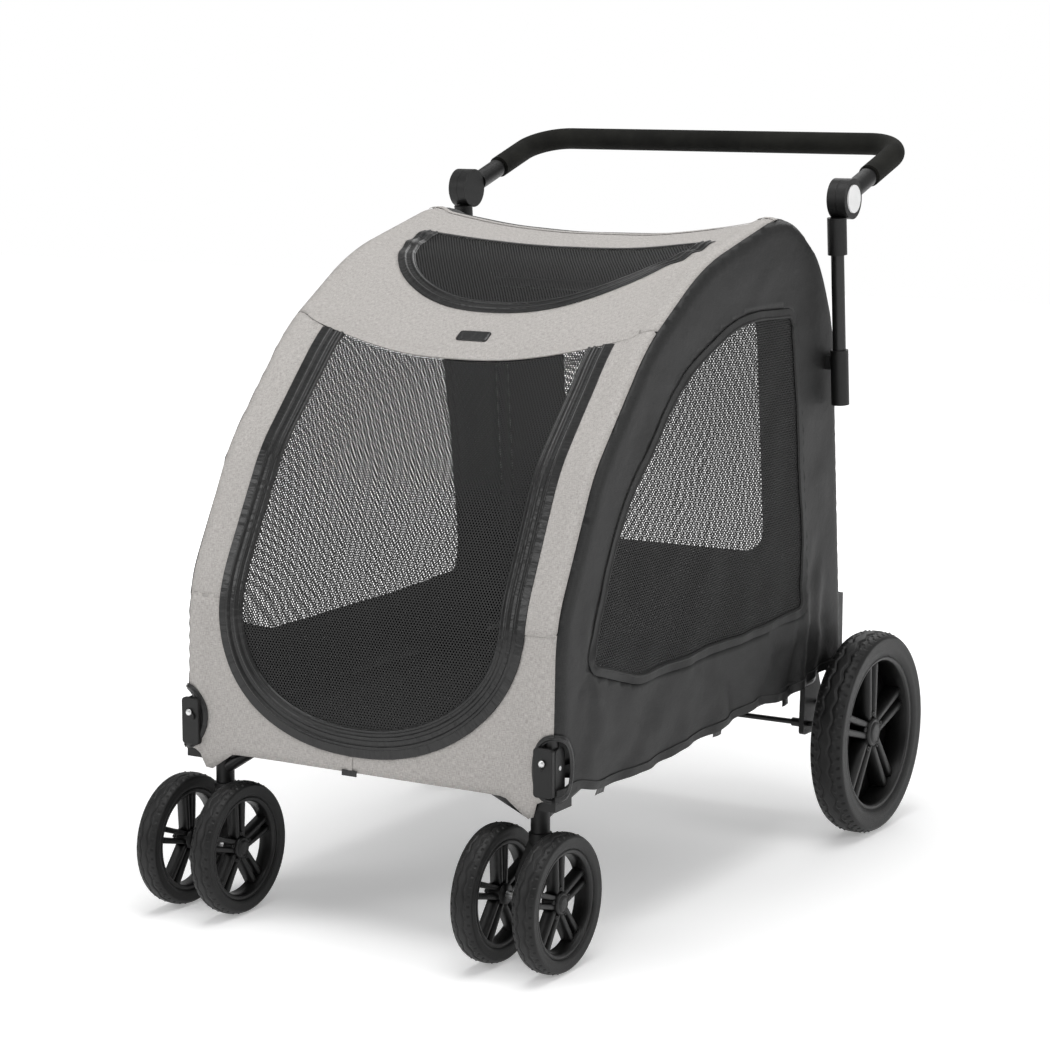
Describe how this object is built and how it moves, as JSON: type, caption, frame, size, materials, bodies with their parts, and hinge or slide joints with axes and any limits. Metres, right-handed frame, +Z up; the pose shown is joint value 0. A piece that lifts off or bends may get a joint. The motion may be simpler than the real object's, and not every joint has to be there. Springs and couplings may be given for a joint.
{
  "type": "pet stroller",
  "caption": "Folding pet stroller: soft cabin on a tube frame, zipped mesh door and skylight, tilting push handle, twin front casters and large rear wheels.",
  "frame": {"origin": "on the ground under the middle of the whole stroller", "axes": "+Y to the rear, +Z up, +X to the right for someone facing the front door"},
  "size_m": [0.741, 1.0863, 1.0249],
  "materials": {
    "tube_black": "satin powder coat",
    "steel": "zinc plated",
    "bracket_plastic": "moulded satin black",
    "board": "matte",
    "mat": "dark padded mesh",
    "black_fabric": "charcoal woven polyester",
    "grey_fabric": "light heather grey woven polyester",
    "mesh": "black air mesh",
    "grip_foam": "matte foam",
    "button_white": "gloss",
    "tyre_rubber": "satin rubber",
    "rim_plastic": "moulded satin black"
  },
  "bodies": {
    "base": {"base_loop": "tube_black", "front_cross_tube": "tube_black", "fold_pins": "steel", "rear_axle": "steel", "floor_board": "board", "floor_mat": "mat", "rear_panel_lower": "black_fabric", "front_corner_left": "bracket_plastic", "front_corner_right": "bracket_plastic", "rear_corner_left": "bracket_plastic", "rear_corner_right": "bracket_plastic", "axle_bracket_left": "bracket_plastic", "axle_bracket_right": "bracket_plastic", "side_panel_lower_left": "black_fabric", "side_panel_lower_right": "black_fabric"},
    "arch": {"arch_spreader": "tube_black", "hood": "grey_fabric", "front_surround": "grey_fabric", "rear_panel_upper": "black_fabric", "arch_tube_left": "tube_black", "arch_tube_right": "tube_black", "post_catch_left": "bracket_plastic", "post_catch_right": "bracket_plastic", "side_panel_upper_left": "black_fabric", "side_panel_upper_right": "black_fabric"},
    "door": {"front_door": "mesh"},
    "skylight": {"skylight_panel": "mesh"},
    "handle_posts": {"post_pins": "steel", "handle_post_left": "tube_black", "handle_post_right": "tube_black", "handle_knuckle_left": "bracket_plastic", "handle_knuckle_right": "bracket_plastic"},
    "handle": {"handle_bar": "tube_black", "handle_grip": "grip_foam", "handle_hub_left": "bracket_plastic", "handle_hub_right": "bracket_plastic"},
    "leg_left": {"rear_leg_left": "tube_black"},
    "button_left": {"tilt_button_left": "button_white"},
    "lock_left": {"front_lock_left": "bracket_plastic"},
    "brake_left": {"brake_lever_left": "bracket_plastic"},
    "caster_left": {"caster_fork_left": "bracket_plastic", "caster_axle_left": "steel"},
    "rear_wheel_left": {"rear_tyre_left": "tyre_rubber", "rear_rim_left": "rim_plastic"},
    "front_wheel_left_inner": {"front_tyre_left_inner": "tyre_rubber", "front_rim_left_inner": "rim_plastic"},
    "front_wheel_left_outer": {"front_tyre_left_outer": "tyre_rubber", "front_rim_left_outer": "rim_plastic"},
    "leg_right": {"rear_leg_right": "tube_black"},
    "button_right": {"tilt_button_right": "button_white"},
    "lock_right": {"front_lock_right": "bracket_plastic"},
    "brake_right": {"brake_lever_right": "bracket_plastic"},
    "caster_right": {"caster_fork_right": "bracket_plastic", "caster_axle_right": "steel"},
    "rear_wheel_right": {"rear_tyre_right": "tyre_rubber", "rear_rim_right": "rim_plastic"},
    "front_wheel_right_inner": {"front_tyre_right_inner": "tyre_rubber", "front_rim_right_inner": "rim_plastic"},
    "front_wheel_right_outer": {"front_tyre_right_outer": "tyre_rubber", "front_rim_right_outer": "rim_plastic"}
  },
  "joints": [
    {"name": "arch_fold", "type": "hinge", "parent": "base", "child": "arch", "pos_m": [0, -0.44, 0.2606], "axis": [1, 0, 0], "range_deg": [-22, 0]},
    {"name": "door_open", "type": "hinge", "parent": "arch", "child": "door", "pos_m": [0, -0.2375, 0.7488], "axis": [-1, 0, 0], "range_deg": [0, 110]},
    {"name": "skylight_open", "type": "hinge", "parent": "arch", "child": "skylight", "pos_m": [0, 0.061, 0.8975], "axis": [-1, 0, 0], "range_deg": [0, 100]},
    {"name": "handle_height", "type": "slide", "parent": "arch", "child": "handle_posts", "axis": [0, -0.0854, 0.9963], "range_m": [0, 0.045]},
    {"name": "handle_tilt", "type": "hinge", "parent": "handle_posts", "child": "handle", "pos_m": [0, 0.307, 0.938], "axis": [1, 0, 0], "range_deg": [-60, 120]},
    {"name": "leg_fold_left", "type": "hinge", "parent": "base", "child": "leg_left", "pos_m": [-0.276, 0.37372, 0.288], "axis": [1, 0, 0], "range_deg": [0, 80]},
    {"name": "button_press_left", "type": "slide", "parent": "handle", "child": "button_left", "axis": [1, 0, 0], "range_m": [0, 0.003], "stiffness_N_per_m": 800, "springref_m": -0.001},
    {"name": "lock_slide_left", "type": "slide", "parent": "base", "child": "lock_left", "axis": [0, 0, 1], "range_m": [0, 0.014]},
    {"name": "brake_press_left", "type": "hinge", "parent": "base", "child": "brake_left", "pos_m": [-0.27, 0.4, 0.176], "axis": [-1, 0, 0], "range_deg": [0, 18]},
    {"name": "caster_swivel_left", "type": "hinge", "parent": "base", "child": "caster_left", "pos_m": [-0.249, -0.42, 0.18], "axis": [0, 0, 1], "continuous": true},
    {"name": "rear_wheel_spin_left", "type": "hinge", "parent": "base", "child": "rear_wheel_left", "pos_m": [-0.345, 0.364, 0.15], "axis": [1, 0, 0], "continuous": true},
    {"name": "front_wheel_spin_left_inner", "type": "hinge", "parent": "caster_left", "child": "front_wheel_left_inner", "pos_m": [-0.204, -0.4532, 0.09], "axis": [1, 0, 0], "continuous": true},
    {"name": "front_wheel_spin_left_outer", "type": "hinge", "parent": "caster_left", "child": "front_wheel_left_outer", "pos_m": [-0.294, -0.4532, 0.09], "axis": [1, 0, 0], "continuous": true},
    {"name": "leg_fold_right", "type": "hinge", "parent": "base", "child": "leg_right", "pos_m": [0.276, 0.37372, 0.288], "axis": [1, 0, 0], "range_deg": [0, 80]},
    {"name": "button_press_right", "type": "slide", "parent": "handle", "child": "button_right", "axis": [-1, 0, 0], "range_m": [0, 0.003], "stiffness_N_per_m": 800, "springref_m": -0.001},
    {"name": "lock_slide_right", "type": "slide", "parent": "base", "child": "lock_right", "axis": [0, 0, 1], "range_m": [0, 0.014]},
    {"name": "brake_press_right", "type": "hinge", "parent": "base", "child": "brake_right", "pos_m": [0.27, 0.4, 0.176], "axis": [-1, 0, 0], "range_deg": [0, 18]},
    {"name": "caster_swivel_right", "type": "hinge", "parent": "base", "child": "caster_right", "pos_m": [0.249, -0.42, 0.18], "axis": [0, 0, 1], "continuous": true},
    {"name": "rear_wheel_spin_right", "type": "hinge", "parent": "base", "child": "rear_wheel_right", "pos_m": [0.345, 0.364, 0.15], "axis": [1, 0, 0], "continuous": true},
    {"name": "front_wheel_spin_right_inner", "type": "hinge", "parent": "caster_right", "child": "front_wheel_right_inner", "pos_m": [0.204, -0.4532, 0.09], "axis": [1, 0, 0], "continuous": true},
    {"name": "front_wheel_spin_right_outer", "type": "hinge", "parent": "caster_right", "child": "front_wheel_right_outer", "pos_m": [0.294, -0.4532, 0.09], "axis": [1, 0, 0], "continuous": true}
  ],
  "couplings": [
    {"joint": "leg_fold_left", "follows": "arch_fold", "ratio": -3.6364},
    {"joint": "leg_fold_right", "follows": "arch_fold", "ratio": -3.6364}
  ]
}
